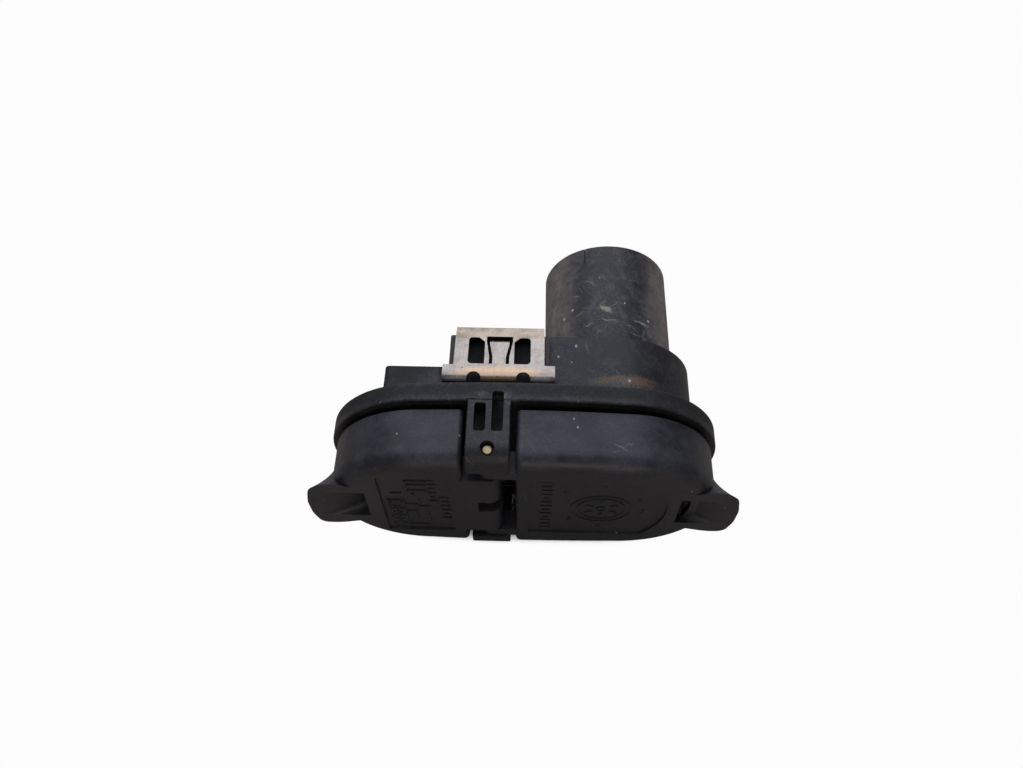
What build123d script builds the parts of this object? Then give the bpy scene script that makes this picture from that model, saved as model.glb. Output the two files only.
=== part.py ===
# Towbar socket: a vehicle's combined trailer socket with a seven-way round connector and
# a four-way flat connector behind one oval flange, closed by two sprung lids on one pin.
# Millimetres. Origin: centre of the flange's rear face, the plane that seats on the bumper.
# +X right seen from the front, +Y into the vehicle, +Z up, lids on the -Y side.
from build123d import *
from math import cos, radians, sin
import os

# Flange
flange_end_margin = 1.6     # beyond the lids' ends
flange_side_margin = 2.5    # beyond the lids' long sides
flange_thickness = 6.0
flange_crown = 1.2          # rise of the long sides between the two round ends
flange_rim = 2.6            # solid rim round the cored back
flange_web = 2.6            # plate left in front of the cored back
core_rib_pitch = 17.0
core_rib_width = 1.6
flange_edge_round = 0.5

# Round connector barrel and the body behind the flange
barrel_radius = 24.65
staple_room = 1.0           # between the lid's spring bridge and the barrel's edge
barrel_wall = 2.05
mouth_step = 0.6            # the bore's mouth is this much wider in radius than the bore behind it
mouth_length = 13.0
barrel_nose = 10.5          # how far it stands in front of the flange
lead_room = 1.9             # between the contact seat and the rear cover, for the leads
body_left_x = -22.6
wall = 2.0
seat_depth = 16.0           # rear face of the contact carrier, from the flange's rear
seat_step = 2.0             # ring that the carrier bears on
seat_thickness = 1.2
key_width = 3.6
key_height = 1.7

# Flat connector box
flat_left_x = -42.1
flat_width = 16.2
flat_box_depth = 9.4
flat_nose = 8.0
nose_corner = 7.0
box_corner = 1.6

# Rear shroud that takes the vehicle's harness
tube_offset = 1.2           # of the tube's axis from the barrel's, towards the hinge
tube_radius = 20.75
tube_wall = 2.0
tube_length = 40.35
tube_seat_step = 0.4        # shoulder that stops the harness connector
tube_seat_depth = 10.9
tube_lip = 0.5
crack_angle = 23.3          # split in the rear edge, degrees left of the top
crack_length = 6.4
crack_width = 0.3

# Hinge
hinge_x = -9.9
hinge_y = -21.1
pin_radius = 1.45
pin_recess = 1.5
pin_running = 0.05
pin_seat = 0.02
pin_mouth_radius = 2.05
pin_mouth_depth = 2.6
lug_width = 12.4
lug_inset = 0.2             # of the lugs' tops from the flange's edge
lug_height = 8.6
lower_lug_short = 3.3       # the lower lug ends this much sooner, level with the lids
lower_lug_round = 2.0
lug_round = 5.6
lug_front_proud = 0.1
slot_width = 3.3
slot_depth = 5.2
slot_offset = 2.5           # of each slot's centre from the hinge axis
slot_front = 5.1            # from the hinge axis to the slots' front ends
left_slot_length = 9.1
right_slot_length = 12.9
knuckle_radius = 4.0
thin_knuckle_radius = 3.4
knuckle_gap = 0.3
thin_knuckle_length = 4.5
spring_gap = 6.4            # between the two wide knuckles
spring_window = 3.3         # from the hinge axis to the window's inner edge

# Lids
lid_end_room = 2.7          # between the round connector and the lid's inner wall, at the end
lid_side_room = 2.55
lid_crown = 1.0
lid_gap = 1.8               # between the flange and the lids' rear edges
lid_wall = 2.2
lid_panel = 2.4
lid_edge_round = 5.0
hinge_edge_round = 1.6      # clears the other lid with both open
hinge_wall_depth = 5.8      # depth of the lid's wall on its hinge side
round_lid_edge_x = -2.0
flat_lid_edge_x = -17.2
panel_recess = 0.6
panel_half_height = 18.5
round_panel_left_x = 2.0
round_panel_corner_margin = 21.0   # from the lid's end
round_panel_end_margin = 14.4
flat_panel_left_x = -42.4
flat_panel_right_x = -21.2

# Finger tabs
tab_reach = 6.3             # beyond the lid's end
tab_half = 15.0
tab_root = 10.0             # inside the lid's end
tab_curl_start = 2.5        # inside the lid's end, where the front begins to curl forward
tab_curl_rise = 1.5         # how far the tip stands in front of the lid's face
tab_lip_rise = 0.5          # of the lip's rear edge, in front of the lid's face
tab_depth = 12.6            # how far behind the lip the flare runs before it dies into the lid's end
tab_steps = 4
pocket_inner = 11.0         # inside the lid's end
pocket_run_out = 2.0        # from the tab's tip
pocket_half = 8.1
pocket_depth = 5.6
pocket_wall = 1.2
pocket_corner = 2.2

# Seals inside the lids
seal_gap = 0.3
round_seal_width = 2.3
round_seal_height = 2.1
flat_seal_height = 2.3
seat_ring_margin = 0.15

# Lid springs
wire = 0.7
coil_mean_radius = 2.4
coil_turns = 2.75
coil_pitch = 0.82
rear_leg = 10.0
front_leg = 12.8
staple_bar = 1.3
staple_width = 2.2
staple_setback = 0.4
staple_clear = 0.05
spring_seat_wall = 1.6
spring_seat_depth = 9.0

# Panel clips, spring sheet
clip_x = -7.7
clip_sheet = 0.5
clip_band_half = 16.5
clip_half = 13.4
clip_front_y = 1.75
clip_top_rise = 5.75        # heights above the body
clip_crease_rise = 3.35
clip_rear_rise = 0.95
clip_crease_back = 3.7      # in front of the body's rear face
clip_overhang = 2.8         # behind the body's rear face
clip_band_depth = 5.3
clip_leg_reach = 9.15       # how far the rear leg runs down the body's rear face
clip_seat_gap = 0.05
notch_offset = 7.25
notch_radius = 2.1
notch_depth = 2.7
window_front = 5.75         # from the clip's front
window_margin = 3.0         # in front of the body's rear face
window_outer = 9.3
window_inner = 4.4
window_waist = 1.9           # the corner cut off beside the tongue's wide end
window_round = 1.3
tongue_root_half = 2.0
tongue_tip_half = 2.95
tongue_neck = 2.9           # straight run at its root
tongue_shoulder = 0.6       # straight run at its wide end
tongue_gap = 1.0
tongue_tip_gap = 2.4
tongue_end_margin = 2.5     # of the gap's end, in front of the body's rear face
tongue_bend = 38.0
tongue_bent = 1.4
guide_thickness = 1.3
guide_height = 3.0
guide_front_y = 7.0
guide_rear_margin = 1.1
guide_gap = 0.2

# Round connector contacts
blade_count = 6
blade_circle = 13.5
blade_width = 6.4
blade_thickness = 1.2
blade_length = 14.0
blade_root = 1.5
tail_side = 1.6
tail_end_y = 31.0
centre_pin_radius = 2.5
centre_tail_radius = 1.5
carrier_thickness = 4.0
carrier_fit = 0.1
carrier_hub_radius = 6.0
carrier_hub_height = 2.6
ring_groove = 1.3
ring_width = 1.2
guide_plate_y = 24.0
guide_plate_thickness = 3.0
guide_plate_fit = 0.05

# Flat connector contacts
contact_pitch = 11.1
block_fit = 0.1
block_front_y = -4.0
block_back_y = 4.6
male_pin_radius = 1.9
male_pin_length = 5.6
sleeve_radius = 2.3
sleeve_bore = 1.5
sleeve_recess = 0.6
lead_thickness = 0.8
lead_width = 3.0
lead_turn_x = -18.0
lead_gap = 0.2

# Planes and places worked out from the sizes above
barrel_x = round_lid_edge_x + lid_wall + staple_setback + staple_width + staple_room + barrel_radius
tube_x = barrel_x - tube_offset
lid_half_width = barrel_x + barrel_radius + lid_end_room + lid_wall
lid_half_height = barrel_radius + lid_side_room + lid_wall
flange_half_width = lid_half_width + flange_end_margin
flange_half_height = lid_half_height + flange_side_margin
lug_top = flange_half_height - lug_inset
lug_bottom = lug_top - lug_height
flange_front_y = -flange_thickness
barrel_front_y = flange_front_y - barrel_nose
flat_front_y = flange_front_y - flat_nose
flat_right_x = flat_left_x + flat_width
flat_centre_x = flat_left_x + flat_width / 2
bore_radius = barrel_radius - barrel_wall
mouth_radius = bore_radius + mouth_step
lid_front_y = hinge_y - knuckle_radius
lid_rear_y = flange_front_y - lid_gap
lid_inner_y = lid_front_y + lid_panel
carrier_front_y = seat_depth - carrier_thickness
chamber_front_y = seat_depth + seat_thickness
cover_front_y = chamber_front_y + lead_room
body_depth = cover_front_y + wall
lead_rear_y = chamber_front_y + lead_gap
tab_tip_x = lid_half_width + tab_reach
tab_root_x = lid_half_width - tab_root
pocket_inner_x = lid_half_width - pocket_inner
pocket_outer_x = tab_tip_x - pocket_run_out
thin_top = lug_bottom - knuckle_gap
thin_bottom = thin_top - thin_knuckle_length
wide_top = thin_bottom - knuckle_gap
wide_bottom = spring_gap / 2
contact_heights = [contact_pitch * step for step in (1.5, 0.5, -0.5, -1.5)]


def pill(half_width, half_height, crown):
    # Oval of two round ends joined by slightly crowned long sides, drawn seen from the front.
    radius = half_height - crown
    centre = half_width - radius
    edges = [
        ThreePointArc((-centre, radius), (0, half_height), (centre, radius)),
        ThreePointArc((centre, radius), (half_width, 0), (centre, -radius)),
        ThreePointArc((centre, -radius), (0, -half_height), (-centre, -radius)),
        ThreePointArc((-centre, -radius), (-half_width, 0), (-centre, radius)),
    ]
    return make_face(edges)


def slab(outline, front, back):
    # A front-view outline made solid between two Y planes.
    return extrude(Plane.XZ.offset(-back) * outline, back - front)


def box_between(x, y, z):
    # A box from pairs of limits.
    size = [high - low for low, high in (x, y, z)]
    middle = [(low + high) / 2 for low, high in (x, y, z)]
    return Pos(*middle) * Box(*size)


def rod(radius, x, z, front, back):
    # A round bar along Y.
    return slab(Pos(x, z) * Circle(radius), front, back)


def post(radius, low, high):
    # A round bar along the hinge axis.
    return Pos(hinge_x, hinge_y, (low + high) / 2) * Cylinder(radius, high - low)


def mirrored(shape):
    # The same shape above and below the mid plane.
    return shape + mirror(shape, Plane.XY)


def plan_prism(points, low, high, rounds=0.0):
    # A plan-view polygon made solid between two heights.
    outline = make_face(Polyline(*points, close=True))
    if rounds > 0:
        outline = fillet(outline.vertices(), rounds)
    return extrude(Plane.XY.offset(low) * outline, high - low)


def body_outline(inset):
    # The body behind the flange: a straight run that ends in the barrel's half circle.
    left = body_left_x + inset
    half = barrel_radius - inset
    straight = Pos((left + barrel_x) / 2, 0) * Rectangle(barrel_x - left, 2 * half)
    return straight + Pos(barrel_x, 0) * Circle(half)


def flat_outline(inset, corner=nose_corner):
    # The flat connector's upright rectangle.
    outline = Rectangle(flat_width - 2 * inset, 2 * (barrel_radius - inset))
    return Pos(flat_centre_x, 0) * fillet(outline.vertices(), corner - inset)


def flange():
    plate = slab(pill(flange_half_width, flange_half_height, flange_crown), flange_front_y, 0)
    rims = plate.faces().filter_by(Axis.Y).edges()
    plate = fillet(rims, flange_edge_round)
    core = pill(flange_half_width - flange_rim, flange_half_height - flange_rim, flange_crown)
    pocket = slab(core, flange_front_y + flange_web, 0)
    pocket -= slab(body_outline(-wall), flange_front_y, 0)
    pocket -= slab(Pos(flat_centre_x, 0) * Rectangle(flat_width + 2 * wall, 2 * barrel_radius + 2 * wall),
                   flange_front_y, 0)
    ribs = int(2 * flange_half_width / core_rib_pitch)
    for index in range(ribs):
        x = (index - (ribs - 1) / 2) * core_rib_pitch
        pocket -= box_between((x - core_rib_width / 2, x + core_rib_width / 2),
                              (flange_front_y, 0), (-flange_half_height, flange_half_height))
    return plate - pocket


def hinge_lug(top, nose_round):
    # The block that stands forward of the flange and holds one end of the pin.
    left, right = hinge_x - lug_width / 2, hinge_x + lug_width / 2
    front = lid_front_y - lug_front_proud
    lug = box_between((left, right), (front, flange_front_y), (lug_bottom, top))
    nose = lug.edges().filter_by(Axis.X).group_by(Axis.Y)[0].sort_by(Axis.Z)[-1]
    lug = fillet(nose, nose_round)
    sides = [edge for edge in lug.edges().filter_by(Axis.Z) if edge.center().Y < front + lug_round]
    lug = fillet(sides, flange_edge_round)
    lug -= post(pin_radius + pin_seat, lug_bottom - 1, top + 1)
    lug -= post(pin_mouth_radius, top - pin_mouth_depth, top + 1)
    return lug


def lug_slot(offset, length):
    # A moulding slot in the lug's top; the longer one runs back into the flange.
    front = hinge_y + slot_front
    outline = fillet(Rectangle(slot_width, length).vertices(), slot_width / 4)
    place = Pos(hinge_x + offset, front + length / 2, lug_top - slot_depth)
    return extrude(place * outline, slot_depth + 1)


def spring_seats():
    # Two ribs on the flange that the springs' rear legs bear on.
    seats = []
    for side in (-1, 1):
        inner = coil_mean_radius + wire / 2 + staple_clear
        xs = sorted((hinge_x + side * inner, hinge_x + side * (inner + spring_seat_wall)))
        seats.append(box_between(xs, (flange_front_y - spring_seat_depth, flange_front_y),
                                 (-spring_gap / 2, spring_gap / 2)))
    return seats


def clip_guides():
    # Upright ribs that keep each panel clip square.
    guides = []
    for side in (-1, 1):
        near = clip_x + side * (clip_half + guide_gap)
        xs = sorted((near, near + side * guide_thickness))
        rib = box_between(xs, (guide_front_y, body_depth - guide_rear_margin),
                          (barrel_radius - 0.5, barrel_radius + guide_height))
        corner = rib.edges().filter_by(Axis.X).group_by(Axis.Y)[-1].sort_by(Axis.Z)[-1]
        guides.append(mirrored(chamfer(corner, 1.6)))
    return guides


def make_housing():
    shell = flange()
    shell += slab(body_outline(0), 0, body_depth)
    shell += slab(flat_outline(0), flat_front_y, 0)
    shell += slab(flat_outline(0, box_corner), flange_front_y, flat_box_depth)
    shell += box_between((flat_right_x - box_corner, body_left_x + wall), (0, flat_box_depth),
                         (-barrel_radius, barrel_radius))
    shell += rod(barrel_radius, barrel_x, 0, barrel_front_y, 0)
    shell += hinge_lug(lug_top, lug_round)
    shell += mirror(hinge_lug(lug_top - lower_lug_short, lower_lug_round), Plane.XY)
    for rib in spring_seats() + clip_guides():
        shell += rib
    shell -= rod(mouth_radius, barrel_x, 0, barrel_front_y, barrel_front_y + mouth_length)
    shell -= rod(bore_radius, barrel_x, 0, barrel_front_y, seat_depth)
    shell -= rod(bore_radius - seat_step, barrel_x, 0, barrel_front_y, body_depth)
    shell -= slab(body_outline(wall), chamber_front_y, body_depth)
    hollow = slab(body_outline(wall), wall, body_depth) - rod(barrel_radius, barrel_x, 0, 0, body_depth)
    shell -= hollow
    shell -= slab(flat_outline(wall), flat_front_y, flat_box_depth - wall)
    shell -= box_between((flat_centre_x, body_left_x + wall + 1), (wall, flat_box_depth - wall),
                         (wall - barrel_radius, barrel_radius - wall))
    for offset, length in ((-slot_offset, left_slot_length), (slot_offset, right_slot_length)):
        shell -= mirrored(lug_slot(offset, length))
    key_top = bore_radius + barrel_wall / 2
    shell += box_between((barrel_x - key_width / 2, barrel_x + key_width / 2),
                         (barrel_front_y + mouth_length, carrier_front_y - 0.5),
                         (bore_radius - key_height, key_top))
    return shell


def make_rear_shroud():
    # Cover plate set into the body's open back, with the tube for the harness connector.
    shroud = slab(body_outline(wall), cover_front_y, body_depth)
    shroud += rod(tube_radius, tube_x, 0, cover_front_y, body_depth + tube_length)
    inner = tube_radius - tube_wall
    shroud -= rod(inner, tube_x, 0, body_depth + tube_seat_depth, body_depth + tube_length)
    shroud -= rod(inner - tube_seat_step, tube_x, 0, cover_front_y, body_depth + tube_length)
    lip = shroud.faces().sort_by(Axis.Y)[-1].edges()
    shroud = fillet(lip, tube_lip)
    end_y = body_depth + tube_length
    split = Box(crack_width, crack_length, 3 * tube_wall)
    split = Pos(tube_x, end_y - crack_length / 2 + 0.1, 0) * Rot(0, -crack_angle, 0) * \
        (Pos(0, 0, tube_radius - tube_wall / 2) * split)
    return shroud - split


def lid_outline(edge_x, side, inset=0.0):
    # One lid's share of the oval, cut straight on its hinge side.
    oval = pill(lid_half_width - inset, lid_half_height - inset, lid_crown)
    near = edge_x + side * inset
    far = side * 2 * lid_half_width
    return oval & (Pos((near + far) / 2, 0) * Rectangle(abs(far - near), 4 * lid_half_height))


def tab_front():
    # Plan curve of the lid's face as it runs out to the tab and curls forward.
    start = (lid_half_width - tab_curl_start, lid_front_y)
    return TangentArc(start, (tab_tip_x + 1, lid_front_y - tab_curl_rise), tangent=(1, 0))


def tab_section(depth):
    # Outline of the finger pull at a depth behind its lip: it narrows fast, then slowly.
    fade = (1 - depth / tab_depth) ** 1.5
    span = tab_root + tab_reach * fade
    half = tab_half * (0.3 + 0.7 * fade)
    upper = [(0, 0.8 * half), (0.62 * span, half), (0.914 * span, 0.787 * half), (span, 0.27 * half)]
    lower = [(x, -z) for x, z in reversed(upper)]
    outline = make_face(Polyline(*upper, *lower, close=True))
    corners = outline.vertices().sort_by(Axis.X)
    outline = fillet(corners[-2:], 1.2 * half)
    corners = outline.vertices().sort_by(Axis.X)
    outline = fillet(corners[2:6], 0.38 * half)
    return Plane.XZ.offset(tab_lip_rise - lid_front_y - depth) * Pos(tab_root_x, 0) * outline


def finger_tab():
    # The flared pull at the lid's end, like the bow of a boat; its root lies inside the lid.
    flare = loft([tab_section(tab_depth * step / tab_steps) for step in range(tab_steps + 1)])
    lip = extrude(tab_section(0), tab_curl_rise)
    curl = tab_front()
    clear_y = lid_front_y - 6 * tab_curl_rise
    ahead = make_face([curl, Polyline(curl @ 1, (tab_tip_x + 1, clear_y), (0, clear_y),
                                      (0, lid_front_y), curl @ 0)])
    ahead = extrude(Plane.XY.offset(-2 * tab_half) * ahead, 4 * tab_half)
    return flare + lip - ahead


def tab_pocket(grow):
    # The scoop in the right tab, grown for its backing: its floor runs out into the tab's front.
    curl = tab_front()
    run = pocket_outer_x - (lid_half_width - tab_curl_start)
    drop = (curl.radius ** 2 - run ** 2) ** 0.5
    outer = (pocket_outer_x, lid_front_y - curl.radius + drop + grow)
    inner = (pocket_inner_x, lid_front_y + pocket_depth + grow)
    floor = TangentArc(outer, inner, tangent=(-drop, run))
    ahead = lid_front_y - 3 * tab_curl_rise
    sides = Polyline(inner, (pocket_inner_x - grow - 0.01, inner[1]), (pocket_inner_x - grow - 0.01, ahead),
                     (pocket_outer_x, ahead), outer)
    half = pocket_half + grow
    scoop = extrude(Plane.XY.offset(-half) * make_face([floor, sides]), 2 * half)
    if grow > 0:
        return scoop
    return fillet(scoop.edges().filter_by(Axis.Y, reverse=True).filter_by(GeomType.CIRCLE), pocket_corner)


def add_finger_pull(shell, side):
    # The tab, its backing inside the lid, then the scoop cut into both.
    tab = finger_tab()
    backing = tab_pocket(pocket_wall)
    backing &= box_between((0, lid_half_width - lid_wall), (lid_front_y + 1, 0), (-tab_half, tab_half))
    behind = slab(lid_outline(0, 1, lid_wall), lid_front_y + lid_edge_round, lid_rear_y)
    pull = tab - behind + backing
    scoop = tab_pocket(0)
    if side < 0:
        pull = mirror(pull, Plane.YZ)
        scoop = mirror(scoop, Plane.YZ)
    return shell + pull - scoop


def spring_staple(edge_x, side, low):
    # A small bridge on the lid's inside; the spring's front leg runs in front of its bar.
    bar_front = hinge_y + coil_mean_radius + wire / 2 + staple_clear
    near = edge_x + side * (lid_wall + staple_setback)
    xs = sorted((near, near + side * staple_width))
    high = low + spring_gap / 2
    staple = box_between(xs, (bar_front, bar_front + staple_bar), (low - staple_bar, high + staple_bar))
    for z in ((low - staple_bar, low), (high, high + staple_bar)):
        staple += box_between(xs, (lid_inner_y - 0.3, bar_front + staple_bar), z)
    return staple


def lid_shell(edge_x, side):
    outer = slab(lid_outline(edge_x, side), lid_front_y, lid_rear_y)
    rim = [edge for edge in outer.edges()
           if abs(edge.center().Y - lid_front_y) < 0.01 and abs(edge.center().X - edge_x) > 0.01]
    outer = fillet(rim, lid_edge_round)
    hinge_edge = [edge for edge in outer.edges().filter_by(Axis.Z)
                  if abs(edge.center().Y - lid_front_y) < 0.01 and abs(edge.center().X - edge_x) < 0.01]
    outer = fillet(hinge_edge, hinge_edge_round)
    inner = slab(lid_outline(edge_x, side, lid_wall), lid_inner_y, lid_rear_y)
    inner_rim = [edge for edge in inner.edges()
                 if abs(edge.center().Y - lid_inner_y) < 0.01
                 and abs(edge.center().X - edge_x) > 2 * lid_wall]
    inner = fillet(inner_rim, lid_edge_round - lid_wall)
    open_side = sorted((edge_x - side, edge_x + side * 2 * lid_wall))
    open_half = lid_half_height - lid_crown - lid_wall
    hinge_opening = box_between(open_side, (lid_front_y + hinge_wall_depth, lid_rear_y),
                                (-open_half, open_half))
    shell = outer - inner - hinge_opening
    return add_finger_pull(shell, side)


def make_round_lid():
    lid = lid_shell(round_lid_edge_x, 1)
    corner_x = lid_half_width - round_panel_corner_margin
    panel = make_face([
        Polyline((corner_x, panel_half_height), (round_panel_left_x, panel_half_height),
                 (round_panel_left_x, -panel_half_height), (corner_x, -panel_half_height)),
        ThreePointArc((corner_x, -panel_half_height), (lid_half_width - round_panel_end_margin, 0),
                      (corner_x, panel_half_height)),
    ])
    lid -= slab(panel, lid_front_y - 1, lid_front_y + panel_recess)
    ring_outer = barrel_radius + seat_ring_margin
    ring_inner = ring_outer - round_seal_width - 2 * seat_ring_margin
    ring_back = barrel_front_y - seal_gap - round_seal_height
    ring = rod(ring_outer, barrel_x, 0, lid_inner_y - 0.5, ring_back)
    ring -= rod(ring_inner, barrel_x, 0, lid_inner_y - 0.5, ring_back)
    lid += ring
    # Plug catch: the tooth that holds the trailer plug's ear while the lid rests on it.
    catch_x = barrel_x - bore_radius + 3.0
    lid += plan_prism([(catch_x, lid_inner_y - 0.5), (catch_x + 3.6, lid_inner_y - 0.5),
                       (catch_x + 1.4, lid_inner_y + 4.6), (catch_x, lid_inner_y + 4.6)], -4, 4)
    lid += spring_staple(round_lid_edge_x, 1, 0)
    arm_front = hinge_y - thin_knuckle_radius
    for low, high in ((thin_bottom, thin_top), (-thin_top, -thin_bottom)):
        lid += post(thin_knuckle_radius, low, high)
        lid += box_between((hinge_x, round_lid_edge_x + lid_wall),
                           (arm_front, hinge_y + thin_knuckle_radius), (low, high))
    return lid - post(pin_radius + pin_running, -lug_top, lug_top)


def make_flat_lid():
    lid = lid_shell(flat_lid_edge_x, -1)
    panel = box_between((flat_panel_left_x, flat_panel_right_x),
                        (lid_front_y - 1, lid_front_y + panel_recess),
                        (-panel_half_height, panel_half_height))
    lid -= panel
    ring_back = flat_front_y - seal_gap - flat_seal_height
    ring = flat_outline(-seat_ring_margin) - flat_outline(wall + seat_ring_margin)
    lid += slab(ring, lid_inner_y - 0.5, ring_back)
    block_rear = hinge_y + knuckle_radius
    for low, high in ((wide_bottom, wide_top), (-wide_top, -wide_bottom)):
        lid += post(knuckle_radius, low, high)
        lid += box_between((flat_lid_edge_x - lid_wall, hinge_x), (lid_front_y, block_rear), (low, high))
    lid += box_between((flat_lid_edge_x - lid_wall, hinge_x - spring_window), (lid_front_y, lid_inner_y),
                       (-wide_bottom, wide_bottom))
    lid -= box_between((flat_lid_edge_x - 2 * lid_wall, hinge_x - spring_window), (lid_inner_y, block_rear),
                       (-wide_bottom, wide_bottom))
    lid += spring_staple(flat_lid_edge_x, -1, -spring_gap / 2)
    return lid - post(pin_radius + pin_running, -lug_top, lug_top)


def make_hinge_pin():
    upper = lug_top - pin_recess
    pin = post(pin_radius, lower_lug_short - upper, upper)
    return chamfer(pin.edges().filter_by(GeomType.CIRCLE), 0.25)


def make_round_lid_seal():
    back = barrel_front_y - seal_gap
    ring = rod(barrel_radius, barrel_x, 0, back - round_seal_height, back)
    ring -= rod(barrel_radius - round_seal_width, barrel_x, 0, back - round_seal_height, back)
    return ring


def make_flat_lid_seal():
    back = flat_front_y - seal_gap
    return slab(flat_outline(0) - flat_outline(wall), back - flat_seal_height, back)


def make_round_lid_spring():
    # Torsion spring on the pin, one bent wire: rear leg on the flange's rib, front leg under the
    # lid's staple.
    end_z = coil_turns * coil_pitch
    coil = Helix(coil_pitch, end_z, coil_mean_radius, lefthand=True)
    rear = Line((coil_mean_radius, rear_leg, 0), coil @ 0)
    front = Line(coil @ 1, (front_leg, coil_mean_radius, end_z))
    section = Plane(origin=rear @ 0, z_dir=rear % 0) * Circle(wire / 2)
    spring = sweep(section, Wire([rear, coil, front]), is_frenet=True)
    return Pos(hinge_x, hinge_y, (spring_gap / 2 - end_z) / 2) * spring


def make_flat_lid_spring():
    # The same spring turned half round, under the first.
    spring = Pos(-hinge_x, 0, 0) * make_round_lid_spring()
    return Pos(hinge_x, 0, 0) * Rot(0, 180, 0) * spring


def make_top_clip():
    leg_y = body_depth + clip_seat_gap + clip_sheet / 2
    top_z = barrel_radius + clip_top_rise
    rear_z = barrel_radius + clip_rear_rise
    leg_bottom = barrel_radius - clip_leg_reach
    path = FilletPolyline(
        (clip_front_y, barrel_radius + 0.6), (clip_front_y, top_z),
        (body_depth - clip_crease_back, barrel_radius + clip_crease_rise),
        (body_depth + clip_overhang, rear_z), (leg_y, rear_z - 2.0), (leg_y, leg_bottom),
        radius=[2.4, 3.0, 0.8, 1.0])
    section = make_face(offset(path, clip_sheet / 2, side=Side.BOTH).edges())
    clip = extrude(Plane.YZ.offset(clip_x - clip_band_half) * section, 2 * clip_band_half)
    shoulder = clip_front_y + clip_band_depth
    high = top_z + 2
    for side in (-1, 1):
        xs = sorted((clip_x + side * clip_half, clip_x + side * (clip_band_half + 1)))
        clip -= box_between(xs, (shoulder, body_depth + clip_overhang + 2), (leg_bottom - 1, high))
    for side in (-1, 1):
        clip -= clip_window(side, high)
        clip -= clip_notch(side, high)
    return clip - clip_tongue_gap(high) + clip_tongue_tip()


def clip_notch(side, high):
    x = clip_x + side * notch_offset
    end_y = clip_front_y + notch_depth - notch_radius
    low = barrel_radius + 2
    cut = box_between((x - notch_radius, x + notch_radius), (clip_front_y - 1, end_y), (low, high))
    return cut + Pos(x, end_y, (low + high) / 2) * Cylinder(notch_radius, high - low)


def clip_window(side, high):
    # D-shaped lightening window beside the tongue, its inner side cut back at the tongue's wide end.
    front = clip_front_y + window_front
    back = body_depth - window_margin
    points = [(window_outer, front), (window_outer, back), (window_inner + window_waist, back),
              (window_inner, back - window_waist), (window_inner, front)]
    outline = make_face(Polyline(*[(clip_x + side * x, y) for x, y in points], close=True))
    outer = outline.vertices().sort_by(Axis.X)[-2:] if side > 0 else outline.vertices().sort_by(Axis.X)[:2]
    outline = fillet(outer, window_round)
    return extrude(Plane.XY.offset(barrel_radius + 1) * outline, high - barrel_radius - 1)


def clip_tongue_gap(high):
    # The gap round the tongue, whose rear end is free.
    front = clip_front_y + window_front
    end = body_depth - tongue_end_margin
    low = barrel_radius + 1

    def keystone(grow, start, stop):
        wide = end - tongue_tip_gap - tongue_shoulder + grow
        right = [(tongue_root_half + grow, start), (tongue_root_half + grow, front + tongue_neck),
                 (tongue_tip_half + grow, wide), (tongue_tip_half + grow, stop)]
        left = [(-x, y) for x, y in reversed(right)]
        return plan_prism([(clip_x + x, y) for x, y in right + left], low, high, 0.3)

    return keystone(tongue_gap, front, end) - keystone(0, front - 1, end - tongue_tip_gap)


def clip_tongue_tip():
    # The tongue's free end, bent down towards the body.
    run = body_depth - clip_crease_back - clip_front_y
    fall = clip_top_rise - clip_crease_rise
    tip_y = body_depth - tongue_end_margin - tongue_tip_gap
    tip_z = barrel_radius + clip_top_rise - fall * (tip_y - clip_front_y) / run
    bent = Pos(0, tongue_bent / 2 - 0.2, 0) * Box(2 * tongue_tip_half, tongue_bent, clip_sheet)
    return Pos(clip_x, tip_y - 0.2, tip_z) * Rot(-tongue_bend, 0, 0) * bent


def blade_place(index):
    # Centre of one blade on the contact circle, in X and Z, and its angle.
    angle = index * 360 / blade_count
    x = barrel_x + blade_circle * cos(radians(angle))
    z = blade_circle * sin(radians(angle))
    return x, z, angle


def make_contact_blade(index):
    x, z, angle = blade_place(index)
    front = carrier_front_y - blade_length
    root = carrier_front_y + blade_root
    face = Pos(x, z) * Rot(0, 0, angle) * Rectangle(blade_thickness, blade_width)
    blade = slab(face, front, root)
    tips = blade.faces().sort_by(Axis.Y)[0].edges().sort_by(SortBy.LENGTH)[-2:]
    blade = chamfer(tips, 0.4)
    return blade + slab(Pos(x, z) * Rectangle(tail_side, tail_side), root, tail_end_y)


def make_centre_pin():
    front = carrier_front_y - blade_length + 1
    pin = rod(centre_pin_radius, barrel_x, 0, front, carrier_front_y + blade_root)
    pin = fillet(pin.faces().sort_by(Axis.Y)[0].edges(), 1.6)
    return pin + rod(centre_tail_radius, barrel_x, 0, carrier_front_y + blade_root, tail_end_y)


def make_contact_carrier(contacts, seal):
    carrier = rod(bore_radius - carrier_fit, barrel_x, 0, carrier_front_y, seat_depth)
    carrier += rod(carrier_hub_radius, barrel_x, 0, carrier_front_y - carrier_hub_height, carrier_front_y)
    for piece in contacts + [seal]:
        carrier -= piece
    return carrier


def make_carrier_seal():
    middle = (carrier_front_y + seat_depth) / 2
    ring = rod(bore_radius, barrel_x, 0, middle - ring_width / 2, middle + ring_width / 2)
    ring -= rod(bore_radius - ring_groove, barrel_x, 0, middle - ring_width / 2, middle + ring_width / 2)
    return ring


def make_terminal_guide(contacts):
    back = guide_plate_y + guide_plate_thickness
    plate = rod(tube_radius - tube_wall - tube_seat_step - guide_plate_fit, tube_x, 0, guide_plate_y, back)
    for piece in contacts:
        plate -= piece
    return plate


def make_flat_block():
    block = slab(flat_outline(wall + block_fit), block_front_y, block_back_y)
    block -= rod(male_pin_radius, flat_centre_x, contact_heights[0], block_front_y, block_back_y)
    for z in contact_heights[1:]:
        block -= rod(sleeve_radius, flat_centre_x, z, block_front_y, block_back_y)
    return block


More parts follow.
